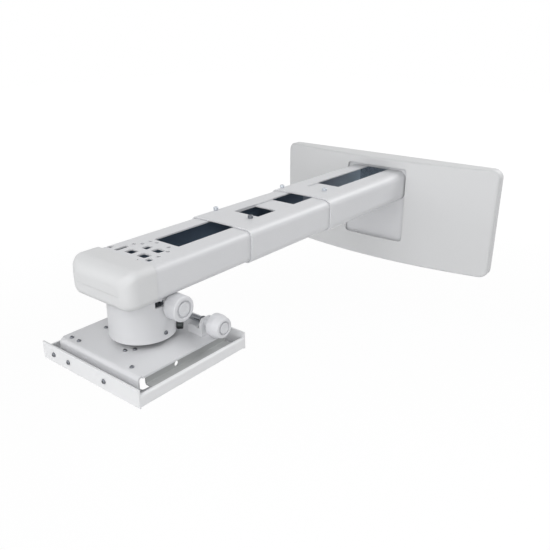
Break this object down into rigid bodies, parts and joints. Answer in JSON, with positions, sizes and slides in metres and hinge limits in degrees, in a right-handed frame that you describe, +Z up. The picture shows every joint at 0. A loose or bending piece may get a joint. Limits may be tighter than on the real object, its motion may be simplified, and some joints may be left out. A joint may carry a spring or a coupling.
{
  "type": "telescopic projector wall mount",
  "caption": "Wall mount for a short-throw projector: bowed wall cover, telescopic arm, swivel head with tilt and roll knobs, and a sliding tray for the projector.",
  "frame": {"origin": "middle of the back face of the wall plate, which lies on the wall", "axes": "+Z up, +Y into the wall, so the arm reaches out along -Y; +X is to the right for a viewer facing the wall"},
  "size_m": [0.48, 0.7568, 0.211],
  "materials": {
    "white_satin_paint": "satin",
    "white_moulding": "fine matt",
    "white_knob": "soft gloss",
    "zinc_plate": "zinc plated",
    "bright_steel": "turned and polished",
    "dark_screw": "dark zinc"
  },
  "bodies": {
    "wall_side": {"wall_plate": "zinc_plate", "arm_bracket": "white_satin_paint", "bracket_bolt_left_lower": "dark_screw", "bracket_bolt_left_upper": "dark_screw", "bracket_bolt_right_lower": "dark_screw", "bracket_bolt_right_upper": "dark_screw", "wall_cover": "white_moulding", "wall_tube": "white_satin_paint", "wall_tube_lock_screw": "dark_screw", "wall_tube_stop_screw": "dark_screw"},
    "middle_arm": {"middle_tube": "white_satin_paint", "middle_tube_lock_screw": "dark_screw", "middle_tube_stop_screw": "dark_screw"},
    "front_arm": {"front_tube": "white_satin_paint", "end_cap": "white_moulding", "swivel_plate": "zinc_plate"},
    "swivel": {"swivel_head": "white_satin_paint", "head_screw": "dark_screw", "drum_side_screw": "dark_screw", "swivel_bolt": "dark_screw", "swivel_nut": "zinc_plate", "tilt_shaft_bush": "zinc_plate"},
    "tilt_adjuster": {"tilt_knob": "white_knob", "tilt_shaft": "bright_steel"},
    "tilt_block": {"gimbal_block": "zinc_plate", "tilt_pin_left": "bright_steel", "tilt_pin_right": "bright_steel", "roll_pin_front": "bright_steel", "roll_pin_back": "bright_steel", "tilt_fork": "zinc_plate", "roll_lever": "zinc_plate"},
    "plate": {"top_plate": "white_satin_paint", "guide_rail_left": "white_satin_paint", "guide_rail_right": "white_satin_paint", "roll_bearing_block": "white_satin_paint", "plate_screw_1": "dark_screw", "plate_screw_2": "dark_screw", "plate_screw_3": "dark_screw", "plate_screw_4": "dark_screw", "plate_screw_5": "dark_screw", "plate_screw_6": "dark_screw", "plate_screw_7": "dark_screw", "plate_screw_8": "dark_screw"},
    "roll_adjuster": {"roll_knob": "white_knob", "roll_screw": "bright_steel", "roll_screw_collar": "dark_screw"},
    "tray": {"slide_tray": "white_satin_paint", "tray_screw_left": "dark_screw", "tray_screw_middle": "dark_screw", "tray_screw_right": "dark_screw"}
  },
  "joints": [
    {"name": "middle_slide", "type": "slide", "parent": "wall_side", "child": "middle_arm", "axis": [0, 1, 0], "range_m": [-0.0025, 0.145]},
    {"name": "front_slide", "type": "slide", "parent": "middle_arm", "child": "front_arm", "axis": [0, 1, 0], "range_m": [-0.06, 0.108]},
    {"name": "swivel_turn", "type": "hinge", "parent": "front_arm", "child": "swivel", "pos_m": [0, -0.6618, 0.055], "axis": [0, 0, 1], "range_deg": [-5, 5]},
    {"name": "tilt", "type": "hinge", "parent": "swivel", "child": "tilt_block", "pos_m": [0, -0.6618, -0.036], "axis": [1, 0, 0], "range_deg": [-5, 5]},
    {"name": "roll", "type": "hinge", "parent": "tilt_block", "child": "plate", "pos_m": [0, -0.6618, -0.036], "axis": [0, 1, 0], "range_deg": [-5, 5]},
    {"name": "tray_slide", "type": "slide", "parent": "plate", "child": "tray", "axis": [0, 1, 0], "range_m": [-0.012, 0.008]},
    {"name": "tilt_knob_turn", "type": "hinge", "parent": "swivel", "child": "tilt_adjuster", "pos_m": [0.048, -0.648, 0.0132], "axis": [1, 0, 0], "range_deg": [-62, 62]},
    {"name": "roll_knob_turn", "type": "hinge", "parent": "plate", "child": "roll_adjuster", "pos_m": [0.079, -0.606, -0.0215], "axis": [1, 0, 0], "range_deg": [-370, 370]}
  ],
  "couplings": [
    {"joint": "tilt_knob_turn", "follows": "tilt", "ratio": 12},
    {"joint": "roll_knob_turn", "follows": "roll", "ratio": 72.9}
  ]
}
